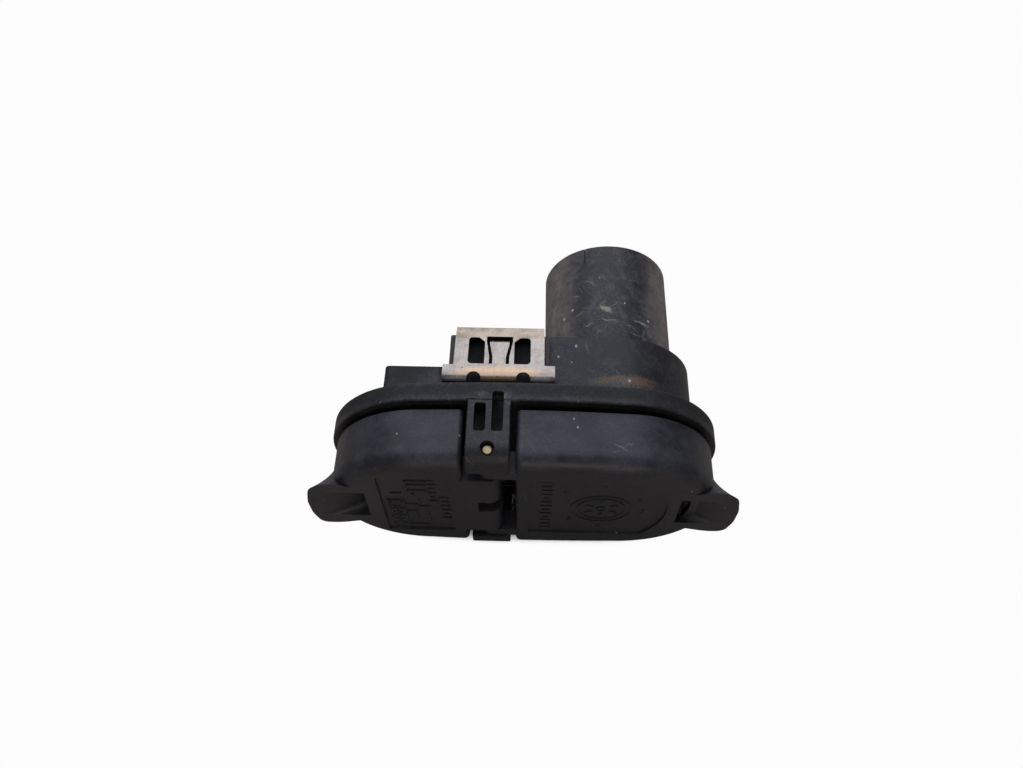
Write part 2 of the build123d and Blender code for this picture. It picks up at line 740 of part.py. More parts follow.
def make_flat_male_pin():
    z = contact_heights[0]
    pin = rod(male_pin_radius, flat_centre_x, z, block_front_y - male_pin_length, block_back_y)
    return fillet(pin.faces().sort_by(Axis.Y)[0].edges(), 0.9)


def make_flat_sleeve(z):
    front = block_front_y + sleeve_recess
    sleeve = rod(sleeve_radius, flat_centre_x, z, front, block_back_y)
    return sleeve - rod(sleeve_bore, flat_centre_x, z, front, block_back_y - 1.0)


def make_flat_lead(z, blade_index):
    # Stamped strip from a flat contact, round behind the barrel, to a blade's tail.
    tail_x, tail_z, _ = blade_place(blade_index)
    back = block_back_y + lead_thickness
    turn = (lead_turn_x - lead_thickness / 2, lead_turn_x + lead_thickness / 2)
    rear = (lead_rear_y, lead_rear_y + lead_thickness)
    heights = (z - lead_width / 2, z + lead_width / 2)
    lead = box_between((flat_centre_x - lead_width / 2, turn[1]), (block_back_y, back), heights)
    lead += box_between(turn, (block_back_y, rear[1]), heights)
    lead += box_between((turn[0], tail_x + lead_width / 2), rear, heights)
    tail_edge = tail_z + (tail_side / 2 if z > tail_z else -tail_side / 2)
    reach = sorted((tail_edge, z))
    lead += box_between((tail_x - lead_width / 2, tail_x + lead_width / 2), rear, reach)
    return lead


def build_parts():
    blades = [make_contact_blade(index) for index in range(blade_count)]
    centre_pin = make_centre_pin()
    carrier_seal = make_carrier_seal()
    male_pin = make_flat_male_pin()
    sleeves = [make_flat_sleeve(z) for z in contact_heights[1:]]
    top_clip = make_top_clip()
    parts = {
        "housing": make_housing(),
        "rear_shroud": make_rear_shroud(),
        "round_lid": make_round_lid(),
        "flat_lid": make_flat_lid(),
        "hinge_pin": make_hinge_pin(),
        "round_lid_spring": make_round_lid_spring(),
        "flat_lid_spring": make_flat_lid_spring(),
        "round_lid_seal": make_round_lid_seal(),
        "flat_lid_seal": make_flat_lid_seal(),
        "top_clip": top_clip,
        "bottom_clip": mirror(top_clip, Plane.XY),
        "contact_carrier": make_contact_carrier(blades + [centre_pin], carrier_seal),
        "carrier_seal": carrier_seal,
        "centre_contact_pin": centre_pin,
        "terminal_guide": make_terminal_guide(blades + [centre_pin]),
        "flat_contact_block": make_flat_block(),
        "flat_male_pin": male_pin,
    }
    for number, blade in enumerate(blades, 1):
        parts[f"contact_blade_{number}"] = blade
    for number, sleeve in enumerate(sleeves, 1):
        parts[f"flat_sleeve_{number}"] = sleeve
    lead_blades = (1, 2, 4, 5)
    for number, (z, blade_index) in enumerate(zip(contact_heights, lead_blades), 1):
        parts[f"flat_lead_{number}"] = make_flat_lead(z, blade_index)
    return parts


def write_parts(parts):
    os.makedirs("parts", exist_ok=True)
    for name, shape in parts.items():
        shape.label = name
        export_step(shape, f"parts/{name}.step")


write_parts(build_parts())
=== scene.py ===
import math
import bpy
from mathutils import Euler, Matrix, Vector


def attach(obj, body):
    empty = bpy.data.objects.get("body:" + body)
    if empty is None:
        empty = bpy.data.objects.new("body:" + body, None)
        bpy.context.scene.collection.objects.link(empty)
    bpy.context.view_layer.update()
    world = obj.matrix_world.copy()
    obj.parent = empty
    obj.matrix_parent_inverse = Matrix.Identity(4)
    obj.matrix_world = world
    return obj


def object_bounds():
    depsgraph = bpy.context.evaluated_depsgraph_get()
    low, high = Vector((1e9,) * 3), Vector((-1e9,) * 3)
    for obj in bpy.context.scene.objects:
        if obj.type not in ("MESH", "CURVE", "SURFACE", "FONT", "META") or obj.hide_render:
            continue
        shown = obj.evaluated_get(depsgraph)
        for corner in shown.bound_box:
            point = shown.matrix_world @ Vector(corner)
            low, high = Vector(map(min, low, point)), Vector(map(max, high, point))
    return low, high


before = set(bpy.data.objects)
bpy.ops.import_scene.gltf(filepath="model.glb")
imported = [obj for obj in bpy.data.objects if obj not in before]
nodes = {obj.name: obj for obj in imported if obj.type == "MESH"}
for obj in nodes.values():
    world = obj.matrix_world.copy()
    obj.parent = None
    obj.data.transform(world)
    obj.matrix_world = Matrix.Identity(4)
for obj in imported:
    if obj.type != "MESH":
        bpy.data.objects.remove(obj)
cadLow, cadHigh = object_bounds()
print("stage: frame loaded,", len(nodes), "nodes")

mm = 0.001   # in metres


# small helpers

def fromHex(text):
    # sRGB hex to the linear numbers that Blender's sockets take
    parts = [int(text[i:i + 2], 16) / 255 for i in (1, 3, 5)]
    return [p / 12.92 if p <= 0.04045 else ((p + 0.055) / 1.055) ** 2.4 for p in parts] + [1.0]


def addNode(material, kind, settings=None, links=None):
    # a setting is a property of the node where it has one of that name, and else the value of a socket
    node = material.node_tree.nodes.new(kind)
    for key, value in (settings or {}).items():
        if isinstance(key, str) and hasattr(node, key):
            setattr(node, key, value)
        else:
            node.inputs[key].default_value = value
    for key, source in (links or {}).items():
        material.node_tree.links.new(source, node.inputs[key])
    return node


def newMaterial(name):
    material = bpy.data.materials.new(name)
    material.use_nodes = True
    material.node_tree.nodes.clear()
    return material


def coat(piece, material):
    piece.data.materials.clear()
    piece.data.materials.append(material)
    for face in piece.data.polygons:
        face.material_index = 0


def dress(names, material):
    # give CAD nodes one finish
    for name in names:
        coat(nodes[name], material)


def deselect():
    if bpy.context.object and bpy.context.object.mode != "OBJECT":
        bpy.ops.object.mode_set(mode="OBJECT")
    bpy.ops.object.select_all(action="DESELECT")


def settle(piece):
    # put the place into the mesh, so the object sits at the origin
    deselect()
    piece.select_set(True)
    bpy.context.view_layer.objects.active = piece
    bpy.ops.object.transform_apply(location=True, rotation=True, scale=True)


def pickFaces(piece, wanted):
    # in edit mode with nothing picked: choose faces by a test on centre and normal
    bpy.ops.object.mode_set(mode="OBJECT")
    for face in piece.data.polygons:
        face.select = wanted(face.center, face.normal)
    bpy.ops.object.mode_set(mode="EDIT")


# camera, light, floor

viewpoint = {
    "place": (1.357, -132.335, 243.939),             # mm
    "down": 58.146, "turn": 2.211, "roll": -0.682,   # degrees
    "lens": 30.656, "sensor": 36, "nearest": 5,      # mm
}

bpy.ops.object.camera_add(location=[v * mm for v in viewpoint["place"]])
camera = bpy.context.object
camera.name = "photoCamera"
aimed = Euler((math.radians(90 - viewpoint["down"]), 0, math.radians(viewpoint["turn"]))).to_matrix()
rolled = Matrix.Rotation(math.radians(viewpoint["roll"]), 3, "Z")
camera.rotation_euler = (aimed @ rolled).to_euler()
camera.data.lens = viewpoint["lens"]
camera.data.sensor_width = viewpoint["sensor"]
camera.data.clip_start = viewpoint["nearest"] * mm
bpy.context.scene.camera = camera
bpy.context.scene.view_settings.view_transform = "Standard"

studio = {
    # watts, and sizes and places in metres
    "topWatts": 7.6, "topSize": 1.5, "topPlace": (-0.1, 0.45, 0.95), "topColour": "#e6ebfc",
    "backWatts": 5.4, "backSize": 1.2, "backPlace": (0.0, 1.5, 0.42), "backColour": "#fff8ee",
    "frontWatts": 2.2, "frontSize": 0.5, "frontPlace": (0.12, -1.35, 0.4), "frontColour": "#fff2e4",
    "worldGrey": "#c9ccd2", "worldStrength": 0.18,
    "floorSize": 6, "floorGrey": "#c9beb2", "shadeGrey": "#2c2926", "floorWhite": 0.983,
    "floorGap": 0.05,                                # mm under the object
    "shadeReach": 22, "shadeSamples": 16,            # mm from the floor within which a thing shades it
    "shadeFull": 0.18, "shadeGone": 0.4,             # share of open sky where the shade is full and gone
}

for name, key in (("topSoftbox", "top"), ("backCard", "back"), ("frontLamp", "front")):
    bpy.ops.object.light_add(type="AREA", location=studio[key + "Place"])
    lamp = bpy.context.object
    lamp.name = name
    lamp.data.energy = studio[key + "Watts"]
    lamp.data.size = studio[key + "Size"]
    lamp.data.color = fromHex(studio[key + "Colour"])[:3]
    lamp.rotation_euler = (-Vector(studio[key + "Place"])).to_track_quat("-Z", "Y").to_euler()

# the room: a dim grey that lights the object, with a white backdrop for the camera alone
world = bpy.context.scene.world or bpy.data.worlds.new("studioRoom")
bpy.context.scene.world = world
world.use_nodes = True
world.node_tree.nodes.clear()
room = addNode(world, "ShaderNodeBackground",
               {"Color": fromHex(studio["worldGrey"]), "Strength": studio["worldStrength"]})
backdrop = addNode(world, "ShaderNodeBackground",
                   {"Color": (1, 1, 1, 1), "Strength": studio["floorWhite"]})
roomPath = addNode(world, "ShaderNodeLightPath")
shown = addNode(world, "ShaderNodeMixShader", None,
                {0: roomPath.outputs["Is Camera Ray"], 1: room.outputs[0], 2: backdrop.outputs[0]})
addNode(world, "ShaderNodeOutputWorld", None, {"Surface": shown.outputs[0]})

# Matt painted card: near white to the camera and shaded close under the object. Gloss sees it as
# it is lit, because near-black nylon would mirror a glowing floor and turn grey.
floorPaint = newMaterial("paintedStudioFloor")
glow = addNode(floorPaint, "ShaderNodeEmission",
               {"Color": (1, 1, 1, 1), "Strength": studio["floorWhite"]})
lightPath = addNode(floorPaint, "ShaderNodeLightPath")
seen = addNode(floorPaint, "ShaderNodeMath", {"operation": "MAXIMUM"},
               {0: lightPath.outputs["Is Camera Ray"], 1: lightPath.outputs["Is Transmission Ray"]})
card = addNode(floorPaint, "ShaderNodeMix",
               {"data_type": "RGBA", 6: fromHex(studio["floorGrey"]), 7: fromHex(studio["shadeGrey"])},
               {0: seen.outputs[0]})
diffuse = addNode(floorPaint, "ShaderNodeBsdfDiffuse", None, {"Color": card.outputs[2]})
cover = addNode(floorPaint, "ShaderNodeAmbientOcclusion",
                {"samples": studio["shadeSamples"], "Distance": studio["shadeReach"] * mm})
openFloor = addNode(floorPaint, "ShaderNodeMapRange",
                    {"interpolation_type": "SMOOTHSTEP",
                     "From Min": studio["shadeFull"], "From Max": studio["shadeGone"]},
                    {"Value": cover.outputs["AO"]})
share = addNode(floorPaint, "ShaderNodeMath", {"operation": "MULTIPLY"},
                {0: seen.outputs[0], 1: openFloor.outputs[0]})
blended = addNode(floorPaint, "ShaderNodeMixShader", None,
                  {0: share.outputs[0], 1: diffuse.outputs[0], 2: glow.outputs[0]})
addNode(floorPaint, "ShaderNodeOutputMaterial", None, {"Surface": blended.outputs[0]})

bpy.ops.mesh.primitive_plane_add(size=studio["floorSize"],
                                 location=(0, 0, cadLow.z - studio["floorGap"] * mm))
floor = bpy.context.object
floor.name = "studioFloor"
floor.data.materials.append(floorPaint)
print("stage: camera, lamps and floor")


# moulded nylon: what its surfaces share

# Sizes are in mm. From and Full are the noise levels between which a pattern comes in.
nylonPattern = {
    # how far a face looks up before dust lies on it
    "faceFrom": 0.1, "faceFull": 0.85,
    # paler clouds in the resin, then the film of dust
    "mottleMm": 1.3, "mottleFrom": 0.35, "mottleFull": 0.7,
    "filmFrom": 0.38, "filmFull": 0.72,
    # powder and where it lies: finer in life, drawn at about half a millimetre so that it shows
    "powderMm": 0.55, "powderFrom": 0.54, "powderFull": 0.72, "powderColour": "#70727a",
    "lyingFrom": 0.36, "lyingFull": 0.6,
    # wiped dirt and specks
    "swirlMm": 7, "swirlFrom": 0.5, "swirlFull": 0.68, "swirlColour": "#7b7a7d",
    "speckColour": "#b4b2ad",
    # hairlines: how they bend, where they show, how wide they are
    "bendMm": 16, "bendBy": 9, "wearMm": 4.2, "wearFade": 0.09,
    "scratchEdge": 0.14, "scratchCore": 0.05, "scratchColour": "#85868c",
    # gloss, and the moulded grain: finer in life too
    "glossFrom": 0.3, "glossFull": 0.7, "glossLess": 0.06, "glossMore": 0.12,
    "grainMm": 0.5, "grainDeep": 0.03,
    "ior": 1.53,
}


def layDust(nylon, look, place, upward, cloud, colour):
    # on what faces up: a thin film, powder held in the grain, and wiped swirls of dried dirt
    pattern = nylonPattern
    film = addNode(nylon, "ShaderNodeMapRange",
                   {"From Min": pattern["filmFrom"], "From Max": pattern["filmFull"],
                    "To Max": look["dust"]}, {"Value": cloud})
    powderNoise = addNode(nylon, "ShaderNodeTexNoise",
                          {"Scale": 1 / (pattern["powderMm"] * mm), "Detail": 2.5, "Roughness": 0.75},
                          {"Vector": place})
    powder = addNode(nylon, "ShaderNodeMapRange",
                     {"From Min": pattern["powderFrom"], "From Max": pattern["powderFull"],
                      "To Max": look["powder"]}, {"Value": powderNoise.outputs[0]})
    lying = addNode(nylon, "ShaderNodeMapRange",
                    {"From Min": pattern["lyingFrom"], "From Max": pattern["lyingFull"]}, {"Value": cloud})
    lyingUp = addNode(nylon, "ShaderNodeMath", {"operation": "MULTIPLY"}, {0: lying.outputs[0], 1: upward})
    swirlNoise = addNode(nylon, "ShaderNodeTexNoise",
                         {"Scale": 1 / (pattern["swirlMm"] * mm), "Detail": 8.0, "Roughness": 0.78,
                          "Distortion": 1.6}, {"Vector": place})
    wiped = addNode(nylon, "ShaderNodeMapRange",
                    {"From Min": pattern["swirlFrom"], "From Max": pattern["swirlFull"],
                     "To Max": look["swirl"]}, {"Value": swirlNoise.outputs[0]})
    for mask, where, tone in ((film, upward, look["dustColour"]),
                              (powder, lyingUp.outputs[0], pattern["powderColour"]),
                              (wiped, upward, pattern["swirlColour"])):
        lain = addNode(nylon, "ShaderNodeMath", {"operation": "MULTIPLY"}, {0: mask.outputs[0], 1: where})
        colour = addNode(nylon, "ShaderNodeMix", {"data_type": "RGBA", 7: fromHex(tone)},
                         {0: lain.outputs[0], 6: colour}).outputs[2]
    return colour


def laySpecks(nylon, look, place, colour):
    # round specks in two sizes: one in each cell of a grid, shown in a small share of the cells
    for cellMm, radius, share, strength in look["specks"]:
        cells = addNode(nylon, "ShaderNodeTexVoronoi", {"Scale": 1 / (cellMm * mm)}, {"Vector": place})
        near = addNode(nylon, "ShaderNodeMath", {"operation": "LESS_THAN", 1: radius / cellMm},
                       {0: cells.outputs["Distance"]})
        drawn = addNode(nylon, "ShaderNodeSeparateColor", None, {0: cells.outputs["Color"]})
        rare = addNode(nylon, "ShaderNodeMath", {"operation": "LESS_THAN", 1: share}, {0: drawn.outputs[0]})
        speck = addNode(nylon, "ShaderNodeMath", {"operation": "MULTIPLY"},
                        {0: near.outputs[0], 1: rare.outputs[0]})
        faint = addNode(nylon, "ShaderNodeMath", {"operation": "MULTIPLY", 1: strength},
                        {0: speck.outputs[0]})
        colour = addNode(nylon, "ShaderNodeMix",
                         {"data_type": "RGBA", 7: fromHex(nylonPattern["speckColour"])},
                         {0: faint.outputs[0], 6: colour}).outputs[2]
    return colour


def layHairlines(nylon, look, place, colour):
    # hairline scratches: the edges of large bent cells, kept only where a noise lets them show
    pattern = nylonPattern
    bend = addNode(nylon, "ShaderNodeTexNoise", {"Scale": 1 / (pattern["bendMm"] * mm), "Detail": 1.0},
                   {"Vector": place})
    bent = addNode(nylon, "ShaderNodeVectorMath",
                   {"operation": "MULTIPLY_ADD", 1: (pattern["bendBy"] * mm,) * 3},
                   {0: bend.outputs["Color"], 2: place})
    net = addNode(nylon, "ShaderNodeTexVoronoi",
                  {"feature": "DISTANCE_TO_EDGE", "Scale": 1 / (look["scratchMm"] * mm)},
                  {"Vector": bent.outputs[0]})
    line = addNode(nylon, "ShaderNodeMapRange",
                   {"From Min": pattern["scratchEdge"] / look["scratchMm"],
                    "From Max": pattern["scratchCore"] / look["scratchMm"],
                    "To Max": look["scratches"]}, {"Value": net.outputs["Distance"]})
    worn = addNode(nylon, "ShaderNodeTexNoise",
                   {"Scale": 1 / (pattern["wearMm"] * mm), "Detail": 3.0, "Roughness": 0.6},
                   {"Vector": place})
    kept = addNode(nylon, "ShaderNodeMapRange",
                   {"From Min": look["scratchFrom"], "From Max": look["scratchFrom"] + pattern["wearFade"]},
                   {"Value": worn.outputs[0]})
    scratch = addNode(nylon, "ShaderNodeMath", {"operation": "MULTIPLY"},
                      {0: line.outputs[0], 1: kept.outputs[0]})
    return addNode(nylon, "ShaderNodeMix", {"data_type": "RGBA", 7: fromHex(pattern["scratchColour"])},
                   {0: scratch.outputs[0], 6: colour}).outputs[2]


def nylonSurface(name, look):
    # Injection-moulded nylon with glass fibre: near black, satin, a fine spark-eroded grain,
    # a thin film and powder of road dust on what faces up, pale specks and hairline scratches.
    pattern = nylonPattern
    nylon = newMaterial(name)
    coordinates = addNode(nylon, "ShaderNodeTexCoord")
    place = coordinates.outputs["Object"]
    facing = addNode(nylon, "ShaderNodeSeparateXYZ", None, {0: coordinates.outputs["Normal"]})
    upward = addNode(nylon, "ShaderNodeMapRange",
                     {"From Min": pattern["faceFrom"], "From Max": pattern["faceFull"],
                      "To Min": look["frontDust"]}, {"Value": facing.outputs["Z"]})
    cloud = addNode(nylon, "ShaderNodeTexNoise",
                    {"Scale": 1 / (look["cloudMm"] * mm), "Detail": 6.0, "Roughness": 0.62},
                    {"Vector": place})
    mottle = addNode(nylon, "ShaderNodeTexNoise",
                     {"Scale": 1 / (pattern["mottleMm"] * mm), "Detail": 4.0, "Roughness": 0.7},
                     {"Vector": place})
    mottled = addNode(nylon, "ShaderNodeMapRange",
                      {"From Min": pattern["mottleFrom"], "From Max": pattern["mottleFull"],
                       "To Max": look["mottle"]}, {"Value": mottle.outputs[0]})
    resin = addNode(nylon, "ShaderNodeMix",
                    {"data_type": "RGBA", 6: fromHex(look["base"]), 7: fromHex(look["pale"])},
                    {0: mottled.outputs[0]})
    colour = layDust(nylon, look, place, upward.outputs[0], cloud.outputs[0], resin.outputs[2])
    colour = laySpecks(nylon, look, place, colour)
    colour = layHairlines(nylon, look, place, colour)
    gloss = addNode(nylon, "ShaderNodeMapRange",
                    {"From Min": pattern["glossFrom"], "From Max": pattern["glossFull"],
                     "To Min": look["roughness"] - pattern["glossLess"],
                     "To Max": look["roughness"] + pattern["glossMore"]}, {"Value": cloud.outputs[0]})
    erosion = addNode(nylon, "ShaderNodeTexNoise",
                      {"Scale": 1 / (pattern["grainMm"] * mm), "Detail": 3.0, "Roughness": 0.6},
                      {"Vector": place})
    dent = addNode(nylon, "ShaderNodeBump",
                   {"Strength": look["grain"], "Distance": pattern["grainDeep"] * mm},
                   {"Height": erosion.outputs[0]})
    return nylon, place, colour, gloss.outputs[0], dent.outputs[0]


def finishSurface(material, colour, roughness, normal):
    shader = addNode(material, "ShaderNodeBsdfPrincipled", {"IOR": nylonPattern["ior"]},
                     {"Base Color": colour, "Roughness": roughness, "Normal": normal})
    addNode(material, "ShaderNodeOutputMaterial", None, {"Surface": shader.outputs[0]})


def stainAndPaintedLightWith(material, place, colour, spots, tone, edgeMm, torn, strayMm=0.0, soft=0.55):
    # used for real stains and also for painted shade and a painted highlight
    # Soft ovals in mm, each (centre, half sizes, turn in plan, strength), laid over a colour in one
    # tone. A noise of edgeMm tears their edges, and their lines are led astray by some mm. A noise
    # is a half on average, which the edge allows for.
    wanderMm = 3.6
    ragged = addNode(material, "ShaderNodeTexNoise",
                     {"Scale": 1 / (edgeMm * mm), "Detail": 4.0, "Roughness": 0.7}, {"Vector": place})
    wander = addNode(material, "ShaderNodeTexNoise", {"Scale": 1 / (wanderMm * mm), "Detail": 2.0},
                     {"Vector": place})
    off = addNode(material, "ShaderNodeVectorMath", {"operation": "SUBTRACT", 1: (0.5, 0.5, 0.5)},
                  {0: wander.outputs["Color"]})
    strayed = addNode(material, "ShaderNodeVectorMath",
                      {"operation": "MULTIPLY_ADD", 1: (strayMm * mm,) * 3}, {0: off.outputs[0], 2: place})
    mask = None
    for centre, half, turn, strength in spots:
        near = addNode(material, "ShaderNodeMapping",
                       {"vector_type": "TEXTURE", "Location": [c * mm for c in centre],
                        "Rotation": (0, 0, math.radians(turn)), "Scale": [h * mm for h in half]},
                       {"Vector": strayed.outputs[0]})
        reach = addNode(material, "ShaderNodeVectorMath", {"operation": "LENGTH"}, {0: near.outputs[0]})
        total = addNode(material, "ShaderNodeMath", {"operation": "MULTIPLY_ADD", 1: torn},
                        {0: ragged.outputs[0], 2: reach.outputs["Value"]})
        spot = addNode(material, "ShaderNodeMapRange",
                       {"interpolation_type": "SMOOTHSTEP", "From Min": 1.0 + torn / 2,
                        "From Max": 1.0 - soft + torn / 2, "To Max": strength},
                       {"Value": total.outputs[0]}).outputs[0]
        if mask:
            spot = addNode(material, "ShaderNodeMath", {"operation": "MAXIMUM"},
                           {0: mask, 1: spot}).outputs[0]
        mask = spot
    return addNode(material, "ShaderNodeMix", {"data_type": "RGBA", 7: fromHex(tone)},
                   {0: mask, 6: colour}).outputs[2]


# housing: the near-black moulding with its rusty bloom, chalky scuffs and painted shade in its slots and
# under its clip

housingLook = {
    "base": "#151619", "pale": "#27282d", "dustColour": "#404046", "dust": 0.34, "frontDust": 0.3,
    "mottle": 0.5, "powder": 0.6, "cloudMm": 13,
    # for each size of speck: its cell and radius in mm, the share of cells that show it, its strength
    "specks": ((2.6, 0.16, 0.1, 0.5), (6.0, 0.32, 0.14, 0.6)),
    "scratchMm": 15, "scratches": 0.3, "scratchFrom": 0.53, "swirl": 0.2, "roughness": 0.47, "grain": 0.5,
}
housingStains = [
    # the bloom behind the flange, from its wide faint halo to its brown core
    {"tone": "#57534e", "edgeMm": 2.6, "torn": 1.4, "spots": [((32, 4.5, 24), (16, 4.5, 6), 0, 0.35)]},
    {"tone": "#7a6f60", "edgeMm": 0.7, "torn": 2.4, "strayMm": 3.0, "soft": 0.9,
     "spots": [((30, 6.0, 24), (12.5, 2.6, 4), 0, 0.65)]},
    {"tone": "#785531", "edgeMm": 0.7, "torn": 2.2, "strayMm": 3.0, "soft": 0.9,
     "spots": [
         ((25.5, 6.2, 24), (5.5, 1.7, 4), 2, 0.8), ((34.5, 5.9, 24), (4.8, 2.0, 3), 6, 0.95),
         ((30, 6.6, 24), (3.5, 1.2, 3), -12, 0.7)]},
    # chalky scuffs round the upper lug's slots
    {"tone": "#8f9096", "edgeMm": 0.6, "torn": 2.6, "strayMm": 2.0, "soft": 0.8,
     "spots": [
         ((-6.2, -4.6, 31.8), (3.4, 2.0, 1.2), 20, 0.6), ((-12.2, -4.0, 31.8), (3.0, 1.1, 1.2), 0, 0.4),
         ((-3.2, -6.5, 31.5), (2.2, 1.4, 1.5), 0, 0.4), ((-7.2, -13.6, 26.4), (1.8, 1.0, 1.5), 0, 0.3)]},
    # single pale dots on the top
    {"tone": "#cfccc4", "edgeMm": 0.5, "torn": 0.6,
     "spots": [
         ((15.4, 17.9, 24.7), (0.45, 0.7, 1), 0, 0.85), ((10.0, 13.8, 24.7), (0.4, 0.5, 1), 0, 0.8),
         ((31.1, 5.9, 24.5), (0.5, 0.7, 1), 0, 0.9), ((14.0, 12.0, 24.7), (0.3, 0.4, 1), 0, 0.7)]},
]
# Painted shade: black in the lug's slots, under and beside the clip, and fainter on the flange and the flat
# box, where shade falls; the same patches are also made dull.
housingShadeAndMatt = {
    "edgeMm": 2.0, "torn": 0.5,
    "spots": [
        ((-9.9, -9.0, 25.6), (7.5, 12.0, 2.2), 0, 0.9), ((-7.7, 15.0, 25.4), (17.5, 14.5, 2.6), 0, 0.9),
        ((-7.7, 4.0, 25.0), (20, 5.5, 3.0), 0, 0.9), ((-24.8, 15.0, 27.0), (2.2, 15.0, 6.0), 0, 0.85),
        ((0, -2.4, 0), (110, 3.4, 80), 0, 0.45), ((-38, 10, 22), (15, 12, 14), 0, 0.45)],
}

nylon, place, colour, gloss, dent = nylonSurface("glassFilledNylonHousing", housingLook)
for stain in housingStains:
    colour = stainAndPaintedLightWith(nylon, place, colour, **stain)
# painted shade laid over the colour in those patches
colour = stainAndPaintedLightWith(nylon, place, colour, tone="#0b0b0d", **housingShadeAndMatt)
gloss = stainAndPaintedLightWith(nylon, place, gloss, tone="#f4f4f4", **housingShadeAndMatt)   # nearly white is nearly matt
finishSurface(nylon, colour, gloss, dent)
dress(["housing"], nylon)


# rear shroud: the same nylon, dustier, with a brown haze and a painted sheen down both sides of its tube

shroudLook = dict(housingLook, base="#16171a", pale="#2b2c31", dustColour="#515055", dust=0.5, powder=0.8,
                  cloudMm=7, frontDust=0.7, scratchMm=7.5, scratches=0.42, scratchFrom=0.5, swirl=0.5)
tubeHazeAndSheen = {
    "tone": "#958d85", "most": 0.95,
    # in mm: the tube's middle plane, and how far off it the haze and painted sheen begin and are full
    "middle": 27.25, "from": 8.5, "full": 17.5,
    "low": -6, "high": 11, "lowShare": 0.4,         # less of it below
    "plate": 20.5, "tube": 27, "plateShare": 0.15,  # and little on the plate that carries the tube
    "noiseMm": 4, "noiseFrom": 0.34, "noiseFull": 0.62, "noiseLeast": 0.25,
}
shroudStains = [
    # wiped streaks, and a wide paler strip along the tube's right side
    {"tone": "#77777c", "edgeMm": 1.2, "torn": 2.2, "strayMm": 5.0, "soft": 1.1,
     "spots": [
         ((15.2, 50.8, 16.5), (10, 1.5, 7), 71, 0.5), ((30.3, 51.1, 20.4), (7, 1.4, 4), 108, 0.32),
         ((20.5, 36.0, 19.5), (6, 1.6, 5), 60, 0.25), ((36.5, 33.0, 18.5), (5, 1.8, 5), 150, 0.3),
         ((39.8, 38.5, 16.6), (3.4, 14, 5), -9, 0.4)]},
    # short pale scratches
    {"tone": "#a3a2a3", "edgeMm": 0.5, "torn": 2.4, "strayMm": 4.5, "soft": 0.9,
     "spots": [
         ((20.3, 46.4, 19.4), (3.0, 0.45, 4), -40, 0.75), ((15.7, 42.7, 17.0), (2.8, 0.4, 5), -25, 0.7),
         ((19.6, 30.0, 19.2), (2.4, 0.4, 4), -15, 0.7), ((25.7, 30.8, 20.5), (5.2, 0.35, 3), -9, 0.75),
         ((36.7, 31.2, 18.4), (4.6, 0.45, 5), -11, 0.85), ((34.1, 26.5, 19.4), (5.0, 0.35, 5), -6, 0.6),
         ((28.0, 36.4, 20.6), (2.6, 0.3, 3), 25, 0.6), ((17.5, 35.2, 18.3), (2.0, 0.3, 4), 35, 0.6),
         ((33.0, 29.2, 19.8), (3.2, 0.3, 4), -30, 0.6), ((22.5, 26.5, 20.2), (2.2, 0.3, 3), 50, 0.45)]},
    # one crusted spot on the top
    {"tone": "#b3ab97", "edgeMm": 0.45, "torn": 2.4, "strayMm": 2.5, "soft": 0.6,
     "spots": [((25.3, 35.0, 20.7), (2.4, 1.5, 2), -35, 0.9)]},
    # single pale dots
    {"tone": "#d9d5cb", "edgeMm": 0.5, "torn": 0.6,
     "spots": [
         ((14.9, 37.3, 16.6), (0.5, 0.6, 1.2), 0, 0.9), ((12.3, 35.3, 14.4), (0.5, 0.6, 1.2), 0, 0.85),
         ((39.0, 33.2, 17.1), (0.45, 0.6, 1.2), 0, 0.9), ((31.4, 37.9, 20.3), (0.35, 0.5, 1), 0, 0.8),
         ((23.6, 48.0, 20.6), (0.3, 0.4, 1), 0, 0.6)]},
]


def hazeAndSheenOver(material, place, colour, hazeSheen):
    # brown haze and painted sheen: a band by distance from the tube's middle plane, thinned below and on the
    # plate, broken by a noise
    apart = addNode(material, "ShaderNodeSeparateXYZ", None, {0: place})
    offMiddle = addNode(material, "ShaderNodeMath", {"operation": "SUBTRACT", 1: hazeSheen["middle"] * mm},
                        {0: apart.outputs["X"]})
    side = addNode(material, "ShaderNodeMath", {"operation": "ABSOLUTE"}, {0: offMiddle.outputs[0]})
    band = addNode(material, "ShaderNodeMapRange",
                   {"interpolation_type": "SMOOTHSTEP", "From Min": hazeSheen["from"] * mm,
                    "From Max": hazeSheen["full"] * mm, "To Max": hazeSheen["most"]}, {"Value": side.outputs[0]})
    height = addNode(material, "ShaderNodeMapRange",
                     {"From Min": hazeSheen["low"] * mm, "From Max": hazeSheen["high"] * mm,
                      "To Min": hazeSheen["lowShare"]}, {"Value": apart.outputs["Z"]})
    depth = addNode(material, "ShaderNodeMapRange",
                    {"From Min": hazeSheen["plate"] * mm, "From Max": hazeSheen["tube"] * mm,
                     "To Min": hazeSheen["plateShare"]}, {"Value": apart.outputs["Y"]})
    noise = addNode(material, "ShaderNodeTexNoise",
                    {"Scale": 1 / (hazeSheen["noiseMm"] * mm), "Detail": 8.0, "Roughness": 0.8},
                    {"Vector": place})
    broken = addNode(material, "ShaderNodeMapRange",
                     {"From Min": hazeSheen["noiseFrom"], "From Max": hazeSheen["noiseFull"],
                      "To Min": hazeSheen["noiseLeast"]}, {"Value": noise.outputs[0]})
    amount = band
    for share in (height, depth, broken):
        amount = addNode(material, "ShaderNodeMath", {"operation": "MULTIPLY"},
                         {0: amount.outputs[0], 1: share.outputs[0]})
    return addNode(material, "ShaderNodeMix", {"data_type": "RGBA", 7: fromHex(hazeSheen["tone"])},
                   {0: amount.outputs[0], 6: colour}).outputs[2]


